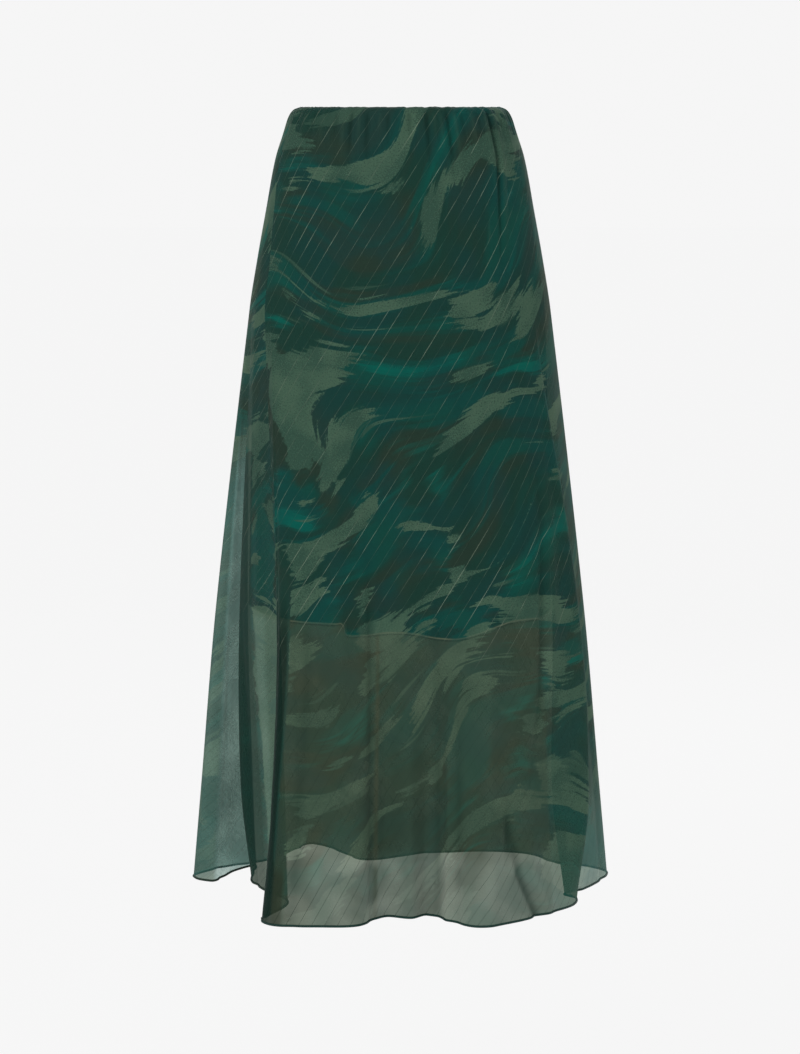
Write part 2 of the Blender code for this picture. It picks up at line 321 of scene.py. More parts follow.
# %% Hanging surfaces
class Hanging:
    """A surface that follows the worn form to the hip and then falls through the rings below it."""

    def __init__(self, rings):
        self.rings = rings
        self.lowest = rings[-1][0]

    def points(self, turns, depths):
        """One point for each row and column of depths."""
        stations = [row[0] for row in FORM] + [depth for depth, ring in self.rings]
        xs = []
        ys = []
        for depth, half_width, half_depth in FORM:
            angle = np.radians(form_angle(turns, depth))
            xs.append(half_width * np.cos(angle))
            ys.append(half_depth * np.sin(angle))
        for depth, ring in self.rings:
            x, y = ring(turns)
            xs.append(x)
            ys.append(y)
        return np.stack([curve(stations, np.array(xs), depths),
                         curve(stations, np.array(ys), depths), -depths], axis=-1)

    def ways(self, turns, depths):
        """Unit vectors outward and round the girth at each point."""
        round_way = self.points(turns + STEP, depths) - self.points(turns - STEP, depths)
        down_way = (self.points(turns, np.minimum(depths + STEP, self.lowest))
                    - self.points(turns, np.maximum(depths - STEP, 0.0)))
        outward = np.cross(down_way, round_way)
        return [way / np.linalg.norm(way, axis=-1, keepdims=True) for way in (outward, round_way)]


OUTER = Hanging(((KNEE, through_folds(KNEE_RING)),
                 (CALF, through_folds(CALF_RING)),
                 (SKIRT_LENGTH, through_folds(HEM_RING))))
LINING = Hanging(((LINING_LENGTH, lining_ring),))

# %% [markdown]
# ## Gathers and creases
# The elastic draws the cloth in, so small gathers start at the top edge, and most fade out within a hand's
# width. No two are alike in length, depth or spacing. Each is a soft ridge or trough across its own line,
# set where the photograph shows one, with similar ones round the back where it shows none.

# %% Gathers at the waist
WAIST_RADIUS = 0.1135      # mean, for turning degrees into metres
TOP_EDGE_SHARE = 0.25      # how much of a gather is left in the very edge, which the elastic holds flat
TOP_EDGE_FADE = 0.014      # depth where a gather has its full height
GATHER_FULL = 0.25         # share of its length at which a gather starts to fade out
RUFFLE_OUT = 0.0006        # height of the ruffle along the top edge
RUFFLE_UP = 0.0003
RUFFLE_FADE = 0.030        # depth where it has faded out
# waves round the waist, how strong they are, and where they start in radians
RUFFLE_WAVES = ((41.0, 1.0, 1.1), (67.0, 0.9, 2.3), (103.0, 0.7, 0.4))

# angle at the waist, depth where it has faded out, half width, height, and lean (degrees and metres)
GATHERS = (
    (199.0, 0.060, 0.0034, 0.0010, 0.5),
    (206.0, 0.045, 0.0030, -0.0009, 0.0),
    (213.0, 0.080, 0.0042, 0.0011, -0.5),
    (220.0, 0.050, 0.0030, -0.0010, 0.0),
    (227.5, 0.070, 0.0036, 0.0012, -0.5),
    (236.0, 0.055, 0.0034, -0.0011, -1.0),
    (240.5, 0.080, 0.0028, 0.0014, 0.0),
    (244.5, 0.085, 0.0024, -0.0018, 0.0),
    (249.0, 0.060, 0.0028, 0.0015, 0.5),
    (253.0, 0.095, 0.0034, -0.0015, 1.0),
    (260.0, 0.045, 0.0024, 0.0011, 0.0),
    (264.0, 0.062, 0.0028, -0.0012, 0.0),
    (270.5, 0.040, 0.0022, 0.0011, 0.0),
    (274.5, 0.056, 0.0030, -0.0013, 0.5),
    (279.0, 0.050, 0.0026, 0.0012, 0.0),
    (283.5, 0.085, 0.0024, -0.0018, 0.5),
    (287.5, 0.055, 0.0026, 0.0013, 0.0),
    (291.0, 0.070, 0.0028, 0.0012, 0.5),
    (294.5, 0.110, 0.0024, -0.0019, 1.0),
    (298.5, 0.105, 0.0026, 0.0017, 1.5),
    (303.0, 0.060, 0.0028, -0.0013, 0.5),
    (309.0, 0.078, 0.0034, 0.0014, 0.5),
    (314.0, 0.050, 0.0026, -0.0011, 0.0),
    (318.5, 0.120, 0.0034, 0.0020, 0.5),
    (322.0, 0.235, 0.0026, -0.0026, 0.5),
    (325.5, 0.210, 0.0034, 0.0022, 1.0),
    (332.0, 0.065, 0.0030, -0.0012, 0.5),
    (338.0, 0.075, 0.0034, 0.0012, 0.5),
    (346.0, 0.050, 0.0028, -0.0010, 0.0),
    (353.0, 0.070, 0.0032, 0.0011, 0.0),
    (363.0, 0.055, 0.0030, -0.0011, 0.0),
    (370.0, 0.085, 0.0036, 0.0013, 0.5),
    (376.0, 0.045, 0.0026, -0.0012, 0.0),
    (381.5, 0.095, 0.0030, 0.0015, 1.0),
    (389.0, 0.060, 0.0028, -0.0014, 0.0),
    (394.0, 0.150, 0.0034, 0.0017, 1.0),
    (399.0, 0.075, 0.0026, -0.0016, 0.5),
    (405.5, 0.050, 0.0024, 0.0012, 0.0),
    (411.0, 0.105, 0.0030, -0.0016, 0.5),
    (417.0, 0.065, 0.0028, 0.0014, 0.0),
    (422.5, 0.045, 0.0024, -0.0012, 0.0),
    (429.0, 0.120, 0.0034, 0.0017, 0.5),
    (434.5, 0.070, 0.0026, -0.0015, 0.0),
    (441.0, 0.055, 0.0026, 0.0013, 0.0),
    (446.0, 0.180, 0.0032, -0.0021, -0.5),
    (450.5, 0.090, 0.0028, 0.0017, -0.5),
    (458.0, 0.050, 0.0026, -0.0012, 0.0),
    (463.5, 0.080, 0.0030, 0.0014, -0.5),
    (470.0, 0.060, 0.0026, -0.0014, 0.0),
    (476.5, 0.130, 0.0034, 0.0017, -1.0),
    (482.0, 0.070, 0.0028, -0.0014, -0.5),
    (489.0, 0.050, 0.0026, 0.0012, 0.0),
    (496.0, 0.095, 0.0032, -0.0014, -0.5),
    (503.0, 0.060, 0.0030, 0.0012, 0.0),
    (511.0, 0.075, 0.0034, -0.0012, -0.5),
    (519.0, 0.050, 0.0030, 0.0011, 0.0),
    (527.0, 0.065, 0.0034, -0.0010, 0.0),
    (545.0, 0.050, 0.0034, 0.0009, 0.0),
)


def gathers(turns, depths):
    """How far the gathers push the cloth outward."""
    angles = form_angle(turns, 0.0)[None, :]
    pushed = np.zeros(np.broadcast_shapes(angles.shape, depths.shape))
    for angle, end, half_width, height, lean in GATHERS:
        across = angles - angle - lean * depths / end
        across = (across + 180.0) % 360.0 - 180.0
        away = np.radians(across) * WAIST_RADIUS / half_width
        pushed += height * np.exp(-away ** 2) * (1.0 - soft_step(depths, GATHER_FULL * end, end))
    return pushed * (TOP_EDGE_SHARE + (1.0 - TOP_EDGE_SHARE) * soft_step(depths, 0.0, TOP_EDGE_FADE))


def top_ruffle(turns, depths):
    """The small uneven waves that the elastic leaves in the very edge, from -1 to 1."""
    angle = np.radians(form_angle(turns, 0.0))
    uneven = (0.5 + 0.5 * np.cos(5.0 * angle + 0.6)) * (0.6 + 0.4 * np.cos(13.0 * angle + 2.0))
    waves = sum(strength * np.cos(count * angle + start) for count, strength, start in RUFFLE_WAVES)
    waves /= sum(strength for count, strength, start in RUFFLE_WAVES)
    return (uneven * waves)[None, :] * (1.0 - soft_step(depths, 0.0, RUFFLE_FADE))


# %% [markdown]
# Further down, the folds themselves are already in the surface. What is missing there are the creases that
# ride on them: long soft lines where the cloth has been folded or leans. A crease follows a path of a few
# points. It fades in at its upper end, and out at its lower end unless it runs through the hem.

# %% Creases below the hip
# half width in centimetres, height in millimetres, then the path as depth in metres and place in centimetres
CREASES = (
    (0.45, 2.2, (0.130, 37.5), (0.300, 39.2), (0.600, 38.6), (0.930, 40.4)),
    (0.90, 3.2, (0.300, 87.8), (0.470, 88.0), (0.680, 85.2), (0.860, 80.4)),
    (0.60, -3.6, (0.330, 86.4), (0.470, 86.6), (0.680, 83.8), (0.860, 79.0)),
    (0.55, 2.6, (0.650, 68.3), (0.790, 68.4), (0.935, 68.0)),
    (0.80, -2.2, (0.660, 69.9), (0.800, 69.8), (0.935, 69.5)),
    (0.80, -5.0, (0.800, 76.6), (0.885, 78.7), (0.935, 81.4)),
    (0.80, 3.0, (0.830, 79.6), (0.890, 81.0), (0.935, 83.4)),
    (0.60, -3.2, (0.770, 77.3), (0.830, 77.0), (0.900, 76.5)),
    (1.10, 1.8, (0.240, 51.2), (0.500, 50.4), (0.820, 51.6)),
    (0.90, -2.7, (0.400, 55.6), (0.650, 56.0), (0.935, 56.6)),
    (1.20, 1.6, (0.180, 62.8), (0.420, 62.2), (0.700, 61.2)),
    (0.80, -2.4, (0.450, 65.4), (0.700, 66.0), (0.935, 66.2)),
    (1.30, -1.8, (0.200, 71.6), (0.400, 73.0), (0.640, 73.6)),
    (0.90, 2.7, (0.480, 75.4), (0.700, 74.8), (0.935, 74.4)),
    (1.10, 1.6, (0.260, 90.2), (0.420, 90.7), (0.620, 90.6)),
    (0.90, -2.7, (0.520, 92.5), (0.700, 92.7), (0.900, 92.8)),
    (0.80, 2.7, (0.420, 96.8), (0.650, 96.5), (0.935, 97.1)),
    (0.90, -2.4, (0.500, 102.2), (0.700, 102.6), (0.930, 103.0)),
    (0.70, 2.7, (0.440, 2.2), (0.650, 1.8), (0.930, 1.4)),
    (0.80, -2.4, (0.560, 6.2), (0.720, 6.0), (0.935, 5.6)),
    (0.80, 2.4, (0.420, 15.6), (0.640, 16.4), (0.920, 16.0)),
    (0.70, -2.4, (0.540, 23.2), (0.720, 23.6), (0.935, 23.0)),
    (0.80, 2.4, (0.400, 27.6), (0.620, 28.0), (0.900, 28.6)),
    (0.90, -2.7, (0.460, 45.8), (0.680, 46.4), (0.935, 46.2)),
    (0.90, 1.8, (0.300, 110.6), (0.560, 110.0), (0.900, 110.4)),
    (1.00, -2.0, (0.380, 115.4), (0.620, 116.2), (0.935, 116.8)),
    (0.90, 2.0, (0.240, 123.0), (0.520, 124.0), (0.860, 123.6)),
    (1.20, -1.8, (0.300, 130.2), (0.600, 131.0), (0.935, 130.6)),
    (0.80, 2.2, (0.480, 134.4), (0.700, 134.8), (0.935, 134.2)),
    (1.10, -2.0, (0.260, 139.0), (0.540, 138.6), (0.880, 138.0)),
    (0.70, 2.7, (0.560, 144.6), (0.760, 145.0), (0.935, 145.6)),
    (1.00, -1.8, (0.320, 148.6), (0.600, 148.2), (0.935, 148.4)),
    (0.90, 2.0, (0.280, 152.2), (0.520, 152.8), (0.900, 152.4)),
    (0.80, -2.7, (0.440, 157.0), (0.680, 157.4), (0.935, 156.8)),
    (0.90, 1.8, (0.340, 161.6), (0.620, 162.2), (0.900, 162.4)),
    (0.80, -2.4, (0.480, 167.2), (0.700, 166.8), (0.935, 167.4)),
    (0.70, 2.4, (0.420, 171.8), (0.660, 172.2), (0.930, 171.6)),
)
CREASE_FADE = 0.45         # share of a crease's length over which each end fades
HEM_REACH = 0.02           # a crease that comes this near to the hem runs through it


def creases(turns, depths):
    """How far the long creases push the cloth outward."""
    pushed = np.zeros(np.broadcast_shapes(turns[None, :].shape, depths.shape))
    for half_width, height, *path in CREASES:
        down = [depth for depth, place in path]
        line = np.interp(depths, down, [place * CENTIMETRE for depth, place in path])
        away = turns[None, :] - line
        away = (away + HEM_GIRTH / 2) % HEM_GIRTH - HEM_GIRTH / 2
        fade = CREASE_FADE * (down[-1] - down[0])
        seen = soft_step(depths, down[0], down[0] + fade)
        if down[-1] < SKIRT_LENGTH - HEM_REACH:
            seen = seen * (1.0 - soft_step(depths, down[-1] - fade, down[-1]))
        pushed += height * MILLIMETRE * np.exp(-(away / (half_width * CENTIMETRE)) ** 2) * seen
    return pushed


# %% [markdown]
# ## Cutting and hanging a panel
# A panel starts as a flat grid, as cloth starts flat. Every vertex is then moved to its hung place. The
# columns are spaced by a blend of the waist and the hem, which bunch up at different places, and the rows
# lie closer at the gathers. The UV map holds the flat cut in real metres, measured along the hung cloth, so
# that print and stripes run over the folds as they do on cloth that was printed flat.

# %% Rows and columns of a panel
HEM_SAY = 0.55             # how far the hem decides where the columns lie, and the waist the rest
FINE_STEPS = 2001          # places that the spacing of the columns is worked out at
MERGE_DISTANCE = 0.000001  # joins the first and last row or column where a grid closes on itself


def columns(first, last, count):
    """Places of the columns from one fold round to another."""
    start = place_of(first)
    end = place_of(last)
    if end <= start:
        end += HEM_GIRTH
    fine = np.linspace(start, end, FINE_STEPS)
    waist = form_angle(fine, 0.0)
    by_hem = (fine - start) / (end - start)
    by_waist = (waist - waist[0]) / (waist[-1] - waist[0])
    reached = HEM_SAY * by_hem + (1.0 - HEM_SAY) * by_waist
    return np.interp(np.linspace(0.0, 1.0, count + 1), reached, fine)


def flat_cut(points, top_row=0):
    """The flat cut of a hung grid in metres, across from the middle of the body and up from its top row."""
    rows = np.arange(len(points))
    across = np.linalg.norm(np.diff(points, axis=1), axis=-1)
    across = np.concatenate([np.zeros((len(points), 1)), np.cumsum(across, axis=1)], axis=1)
    middle = np.abs(points[..., 0]).argmin(axis=1)
    facing = np.sign(points[rows, middle + 1, 0] - points[rows, middle, 0])
    across -= (across[rows, middle] - facing * points[rows, middle, 0])[:, None]
    fall = np.diff(points, axis=0)
    along = np.gradient(points, axis=1)[1:]
    along /= np.linalg.norm(along, axis=-1, keepdims=True)
    straight = fall - (fall * along).sum(axis=-1, keepdims=True) * along
    down = np.linalg.norm(straight, axis=-1)
    down = np.concatenate([np.zeros((1, points.shape[1])), np.cumsum(down, axis=0)])
    down -= down[top_row]
    return np.stack([across, -down], axis=-1)


def cloth(name, points, cut, finish, painted=None):
    """A flat grid with one vertex for each row and column, moved to its points, with its cut as UV map."""
    rows, count = points.shape[:2]
    grid = bmesh.new()
    bmesh.ops.create_grid(grid, x_segments=count - 1, y_segments=rows - 1, size=1.0)
    uv = grid.loops.layers.uv.new("cut")
    painted = {grid.verts.layers.float.new(layer): amounts for layer, amounts in (painted or {}).items()}
    where = {}
    for vertex in grid.verts:
        column = round((vertex.co.x + 1.0) / 2.0 * (count - 1))
        row = round((1.0 - vertex.co.y) / 2.0 * (rows - 1))
        where[vertex.index] = row, column
        vertex.co = points[row, column]
        for layer, amounts in painted.items():
            vertex[layer] = amounts[row, column]
    for face in grid.faces:
        face.smooth = True
        for corner in face.loops:
            corner[uv].uv = cut[where[corner.vert.index]]
    bmesh.ops.remove_doubles(grid, verts=grid.verts, dist=MERGE_DISTANCE)
    mesh = bpy.data.meshes.new(name)
    grid.to_mesh(mesh)
    grid.free()
    mesh.materials.append(finish)
    piece = bpy.data.objects.new(name, mesh)
    scene.collection.objects.link(piece)
    print(name, len(mesh.polygons), "faces")
    return piece


# %% [markdown]
# ## Writing shader sums as sums
# A printed cloth needs a lot of shader arithmetic. A small class wraps a socket, so that `1 - mask` adds the
# Math node by itself. A second class is one material, with a method for each kind of node that is used.

# %% Shader toolkit
class Value:
    """A socket that can stand in a sum."""

    def __init__(self, finish, socket):
        self.finish = finish
        self.socket = socket

    def __add__(self, other):
        return self.finish.maths("ADD", self, other)

    def __sub__(self, other):
        return self.finish.maths("SUBTRACT", self, other)

    def __mul__(self, other):
        return self.finish.maths("MULTIPLY", self, other)

    def __radd__(self, other):
        return self.finish.maths("ADD", other, self)

    def __rsub__(self, other):
        return self.finish.maths("SUBTRACT", other, self)

    def __rmul__(self, other):
        return self.finish.maths("MULTIPLY", other, self)


class Finish:
    """One material, built up node by node."""

    def __init__(self, name, **constants):
        self.material = bpy.data.materials.new(name)
        self.material.use_nodes = True
        self.tree = self.material.node_tree
        self.shader = self.tree.nodes["Principled BSDF"]
        for socket, value in constants.items():
            self.shader.inputs[socket.replace("_", " ")].default_value = value

    def add(self, kind, settings, inputs, output=0):
        """Adds a node: its settings first, then the values or links of its sockets."""
        node = self.tree.nodes.new(kind)
        for name, value in settings.items():
            setattr(node, name, value)
        for name, value in inputs.items():
            self.feed(node.inputs[name], value)
        return Value(self, node.outputs[output])

    def feed(self, socket, value):
        if isinstance(value, Value):
            self.tree.links.new(value.socket, socket)
        else:
            socket.default_value = value

    def maths(self, operation, *terms):
        return self.add("ShaderNodeMath", {"operation": operation}, dict(enumerate(terms)))

    def mix(self, share, colour, other):
        """One colour turning into another."""
        return self.add("ShaderNodeMix", {"data_type": "RGBA"}, {0: share, 6: colour, 7: other}, 2)

    def between(self, value, low, high, start=0.0, end=1.0):
        """From start at low to end at high, with soft ends."""
        return self.add("ShaderNodeMapRange", {"interpolation_type": "SMOOTHSTEP"},
                        {"Value": value, "From Min": low, "From Max": high, "To Min": start, "To Max": end})

    def noise(self, x, y, z, scale, detail, roughness, output=0):
        """Noise at a place on the cloth. z only picks a slice of it, so that no two uses are alike."""
        place = self.add("ShaderNodeCombineXYZ", {}, {"X": x, "Y": y, "Z": z})
        return self.add("ShaderNodeTexNoise", {"noise_dimensions": "3D"},
                        {"Vector": place, "Scale": scale, "Detail": detail, "Roughness": roughness}, output)

    def parts(self, vector):
        """The three numbers of a vector or a colour."""
        node = self.tree.nodes.new("ShaderNodeSeparateXYZ")
        self.tree.links.new(vector.socket, node.inputs[0])
        return [Value(self, output) for output in node.outputs]

    def painted(self, layer):
        """A number that is painted on the vertices."""
        return self.add("ShaderNodeAttribute", {"attribute_name": layer}, {}, 2)

    def height(self):
        """Metres above the waist edge, which is below 0 everywhere on the skirt."""
        return self.parts(self.add("ShaderNodeTexCoord", {}, {}, "Object"))[2]

    def cut(self):
        """Metres across and up on the flat cut of the cloth."""
        x, y, _ = self.parts(self.add("ShaderNodeUVMap", {"uv_map": "cut"}, {}))
        return x, y

    def sheer(self, opaque, share, tint, other_tint):
        """Lets light through where opaque is under 1, in a tint that turns into another by share."""
        clear = self.add("ShaderNodeBsdfTransparent", {}, {"Color": tint})
        other = self.add("ShaderNodeBsdfTransparent", {}, {"Color": other_tint})
        clear = self.add("ShaderNodeMixShader", {}, {0: share, 1: clear, 2: other})
        body = Value(self, self.shader.outputs[0])
        both = self.add("ShaderNodeMixShader", {}, {0: opaque, 1: clear, 2: body})
        self.feed(self.tree.nodes["Material Output"].inputs["Surface"], both)

    def bump(self, height, depth, strength):
        """Relief that is only shaded: threads and ribs too fine for the mesh."""
        normal = self.add("ShaderNodeBump", {}, {"Height": height, "Distance": depth, "Strength": strength})
        self.feed(self.shader.inputs["Normal"], normal)


def paint(red, green, blue):
    """A colour as a screen shows it, 0 to 255, as the linear colour that a shader takes."""
    channels = []
    for channel in (red, green, blue):
        share = channel / 255.0
        channels.append(share / 12.92 if share < 0.04045 else ((share + 0.055) / 1.055) ** 2.4)
    return (*channels, 1.0)


# %% [markdown]
# ## Printed chiffon
# The cloth is a thin chiffon in deep greens, printed with broad dry-brush strokes that lie mostly across the
# body. The layout here is a brushwork of our own in the same colours and size, made from noise. Two slow
# noises bend the ground first, so that all strokes laid on it sweep together, and a tilt makes them climb.

# %% Colours and bent ground
chiffon = Finish("printed_chiffon", Roughness=0.7, Specular_IOR_Level=0.03, Sheen_Weight=0.02,
                 Sheen_Roughness=0.5)
BLACK_GREEN = paint(22, 52, 44)
BROWN_GREEN = paint(33, 50, 41)
TEAL = paint(15, 62, 54)
BRIGHT_TEAL = paint(3, 83, 72)
BLUE_GREEN = paint(14, 55, 55)
SAGE = paint(52, 78, 65)
PALE_SAGE = paint(68, 93, 76)
# the darkest green, used for painted shade in folds, hollows and under the lining's edge
SHADE_GREEN = paint(9, 30, 24)
BACKLIGHT_PALE = paint(94, 136, 130)
BACKLIT_OLIVE = paint(56, 62, 46)
LINING_HEM = paint(100, 102, 82)
BEND = 0.36                # metres that the slow noise would carry a stroke if it went from 0 to 1
WOBBLE_ACROSS = 0.05       # the same for the quicker noise
WOBBLE_UP = 0.04
STROKE_TILT = 0.25
BRISTLES = 170.0           # noise cells for each metre across a stroke
BRISTLE_LENGTHS = 9.0      # and along it

across, up = chiffon.cut()
bend_x, bend_y, _ = chiffon.parts(chiffon.noise(across, up, 0.6, 3.6, 1.0, 0.4, output=1))
slow_x = across + (bend_x - 0.5) * BEND
slow_y = up + (bend_y - 0.5) * BEND
wobble_x, wobble_y, _ = chiffon.parts(chiffon.noise(slow_x, slow_y, 2.0, 9.0, 1.0, 0.5, output=1))
brush_x = slow_x + (wobble_x - 0.5) * WOBBLE_ACROSS
brush_y = slow_y + (wobble_y - 0.5) * WOBBLE_UP - slow_x * STROKE_TILT
bristles = chiffon.noise(brush_x * BRISTLE_LENGTHS, brush_y * BRISTLES, 0.0, 1.0, 3.0, 0.6) - 0.5
grain = chiffon.noise(across, up, 6.0, 210.0, 2.0, 0.6) - 0.5
print("bent ground nodes:", len(chiffon.tree.nodes))

# %% [markdown]
# Five amounts are painted on the cloth later, when it is hung, because they depend on where a fold or the
# lining is. The first is partly print and partly painted light and shade: it makes a place paler or darker
# and lets more or fewer pale strokes through. The second is painted light from behind, partly a browner
# print: the browner look of cloth with no lining behind it. The third is painted light: cloth with bright
# light straight behind it, paler and cooler. The fourth is how deep a place lies in a gather or crease,
# under 0 on a ridge, and paints shade into the hollows and light onto the ridges. The last is how far a
# place lies under the lining's edge.

# %% Amounts painted on the cloth
wash = chiffon.painted("wash")
olive = chiffon.painted("olive")
mist = chiffon.painted("mist")
hollow = chiffon.painted("hollow")
below = chiffon.painted("below")
height = chiffon.height()
print("painted amounts:", [node.attribute_name for node in chiffon.tree.nodes if node.type == "ATTRIBUTE"])

# %% [markdown]
# A stretched noise on the bent ground cuts out each colour. Bristle marks, a much finer noise along the same
# stroke, are added before the cut, which gives the torn edge that a brush leaves as it runs dry. The pale
# strokes are half as strong in the band above the hem.

# %% Strokes and tones
HEM_BAND = (-0.885, -0.855)    # heights between which the pale strokes gain their full strength


def brushed(layer, stretch, scale, detail, roughness, torn):
    """A noise that lies along the strokes. torn is how far the bristles reach into its edges."""
    return chiffon.noise(brush_x, brush_y * stretch, layer, scale, detail, roughness) + bristles * torn


strokes = brushed(layer=0.0, stretch=2.6, scale=7.4, detail=1.8, roughness=0.5, torn=0.25) + grain * 0.05
broad = chiffon.between(strokes + wash * 0.14, 0.556, 0.568)
dashes = brushed(layer=11.0, stretch=5.0, scale=7.0, detail=1.0, roughness=0.4, torn=0.26)
thin = chiffon.between(dashes + wash * 0.1, 0.680, 0.700) * 0.6
pale = chiffon.maths("MAXIMUM", broad, thin) * chiffon.between(height, *HEM_BAND, 0.5, 1.0)
body = brushed(layer=3.0, stretch=2.4, scale=8.0, detail=2.0, roughness=0.5, torn=0.24)
teal = chiffon.between(body, 0.47, 0.58)
spots = brushed(layer=9.0, stretch=2.4, scale=8.0, detail=2.0, roughness=0.5, torn=0.20)
bright = chiffon.between(spots + body * 0.5, 0.82, 1.02)
earth = brushed(layer=7.0, stretch=2.6, scale=7.0, detail=2.0, roughness=0.5, torn=0.20)
brown = chiffon.between(earth, 0.47, 0.60)
tone = chiffon.between(chiffon.noise(across, up, 1.0, 16.0, 2.0, 0.5) + bristles * 0.2, 0.40, 0.62)
print("nodes with strokes:", len(chiffon.tree.nodes))

# %% [markdown]
# The colours go on like layers of paint: ground, pale strokes, painted amounts, and last the lining's edge.
# The painted amounts lay painted shade into hollows and where folds lie on top of each other, and painted
# light where light shines through. On the real skirt the pale hem thread of the lining and the dark turn
# just under it show through the front as two fine lines, because light passes the cloth twice. This thin
# shell loses that light, so both lines are painted on the front where the edge lies behind it. The dark one
# is the turn and a painted shadow under it.

# %% Laying the colours
EDGE_TURN = 0.0020         # metres that the dark turn lies below the pale thread
EDGE_TURN_FADE = (0.0006, 0.0014)      # metres from its middle where the dark line starts and ends fading
EDGE_THREAD_FADE = (0.0004, 0.0012)    # the same for the pale line

ground = chiffon.mix(brown, BLACK_GREEN, BROWN_GREEN)
ground = chiffon.mix(teal, ground, TEAL)
ground = chiffon.mix(bright, ground, BRIGHT_TEAL)
ground = chiffon.mix(tone * 0.4, ground, BLUE_GREEN)
# painted shade: below 0 the first painted amount darkens the ground where folds lie on top of each other
ground = chiffon.mix(chiffon.between(wash, -1.0, 0.0, 0.8, 0.0), ground, BLACK_GREEN)
ground = chiffon.mix(chiffon.between(wash, -2.0, -0.8, 0.9, 0.0), ground, SHADE_GREEN)
printed = chiffon.mix(pale, ground, chiffon.mix(tone, SAGE, PALE_SAGE))
# painted light, partly print: above 0 the first painted amount turns the cloth towards pale sage
printed = chiffon.mix(chiffon.between(wash, 0.0, 2.0, 0.0, 0.8), printed, PALE_SAGE)
# painted light, partly print: browner where no lining is behind and light comes through from behind
printed = chiffon.mix(olive * chiffon.between(below, -0.001, 0.003), printed, BACKLIT_OLIVE)
# painted light: a pale cool colour where bright light shines through, strongest where a fold lies in shade
printed = chiffon.mix(mist * 0.5, printed, BACKLIGHT_PALE)
# painted shade in the hollows of gathers and creases, and painted highlight on their ridges
printed = chiffon.mix(chiffon.between(hollow, 0.0, 1.0, 0.0, 0.62), printed, SHADE_GREEN)
printed = chiffon.mix(chiffon.between(hollow, -1.0, 0.0, 0.16, 0.0), printed, PALE_SAGE)

edge_seen = chiffon.between(olive, 0.1, 0.3)
# painted shadow: the dark line under the pale thread is the lining's turn and the shade under it
under_edge = 1.0 - chiffon.between(chiffon.maths("ABSOLUTE", below - EDGE_TURN), *EDGE_TURN_FADE)
printed = chiffon.mix(under_edge * edge_seen * 0.35, printed, SHADE_GREEN)
on_edge = 1.0 - chiffon.between(chiffon.maths("ABSOLUTE", below), *EDGE_THREAD_FADE)
edge_strength = on_edge * edge_seen * chiffon.between(body, 0.38, 0.62, 0.48, 0.15)
printed = chiffon.mix(edge_strength, printed, LINING_HEM)
print("nodes with colours:", len(chiffon.tree.nodes))

# %% [markdown]
# ## Metal pinstripes
# A thin metallised thread is woven in every centimetre or so and runs slantwise, because the panels are cut
# on the bias. Its glints are painted highlights: a noise along each thread makes some stretches bright and
# others almost vanish, and the bright ones get a little metal shine as well. Below the lining, where light
# comes from behind, it stops some of that light and reads as a dark line.

# %% Pinstripes
STRIPE_SLANT = math.radians(58.0)
STRIPE_SPACING = 0.0122    # metres between two threads
STRIPE_WIDTH = 0.00036
STRIPE_SOFTNESS = 0.3      # share of the half width over which its side fades, both ways
GLINT = paint(160, 171, 150)
DULL_THREAD = paint(22, 36, 30)
BARE_BAND = (-0.67, -0.58)     # heights between which the lining starts to back the cloth

along = across * math.cos(STRIPE_SLANT) + up * math.sin(STRIPE_SLANT)
side = across * math.sin(STRIPE_SLANT) - up * math.cos(STRIPE_SLANT)
row = side * (1.0 / STRIPE_SPACING)
from_thread = chiffon.maths("ABSOLUTE", chiffon.maths("FRACT", row) - 0.5)
thread_edge = STRIPE_WIDTH * 0.5 / STRIPE_SPACING
soft_edge = [thread_edge * (1.0 + way * STRIPE_SOFTNESS) for way in (-1.0, 1.0)]
thread = 1.0 - chiffon.between(from_thread, *soft_edge)
which = chiffon.maths("FLOOR", row)
# painted highlights: glint and lustre brighten stretches of thread towards the pale glint colour
glint = chiffon.between(chiffon.noise(along * 16.0, which * 3.7, 2.0, 1.0, 3.0, 0.65), 0.42, 0.68)
lustre = chiffon.between(chiffon.noise(across, up, 8.0, 6.0, 1.0, 0.5) + glint * 0.06, 0.42, 0.62)
bare = chiffon.between(height, *BARE_BAND, 1.0, 0.0)
shine = (0.11 + glint * (0.19 + lustre * 0.58)) * (1.0 - bare * 0.97)
stripe = thread * (0.38 + glint * 0.28 + bare * 0.14)
print("nodes with stripes:", len(chiffon.tree.nodes))

# %% [markdown]
# ## How much light passes
# The ground is a crepe weave. Its threads crowd and part, which shows as a fine mottling of how much light
# passes. Three noises of different size make it. Where bright light is straight behind, two layers of cloth
# also make a watery ripple, and the light that comes through is cooler. So the clear part of the cloth is
# tinted by two colours, and the painted backlight turns one into the other.

# %% Weave and light
LIGHT_THROUGH = (0.95, 1.0, 0.84, 1.0)
COOL_LIGHT_THROUGH = (0.80, 0.96, 0.90, 1.0)
RIPPLES = 260.0            # how closely the ripple's lines follow each other
CREPE_RELIEF = 0.0002      # metres

mottle = chiffon.noise(across, up, 0.0, 480.0, 2.0, 0.7) - 0.5
cloudy = chiffon.noise(across * 0.6, up, 4.0, 90.0, 3.0, 0.6) - 0.5
bloom = chiffon.between(chiffon.noise(across, up, 12.0, 17.0, 1.0, 0.5), 0.40, 0.66) - 0.5
ripple = chiffon.maths("SINE", chiffon.noise(across, up, 14.0, 11.0, 2.0, 0.6) * RIPPLES)
opaque = chiffon.between(pale, 0.0, 1.0, 0.880, 0.845) - wash * 0.02 + olive * 0.045 - mist * 0.15
opaque = opaque + mottle * (0.01 + pale * 0.07) + cloudy * 0.03 - bloom * (olive * 0.16 + mist * 0.07)
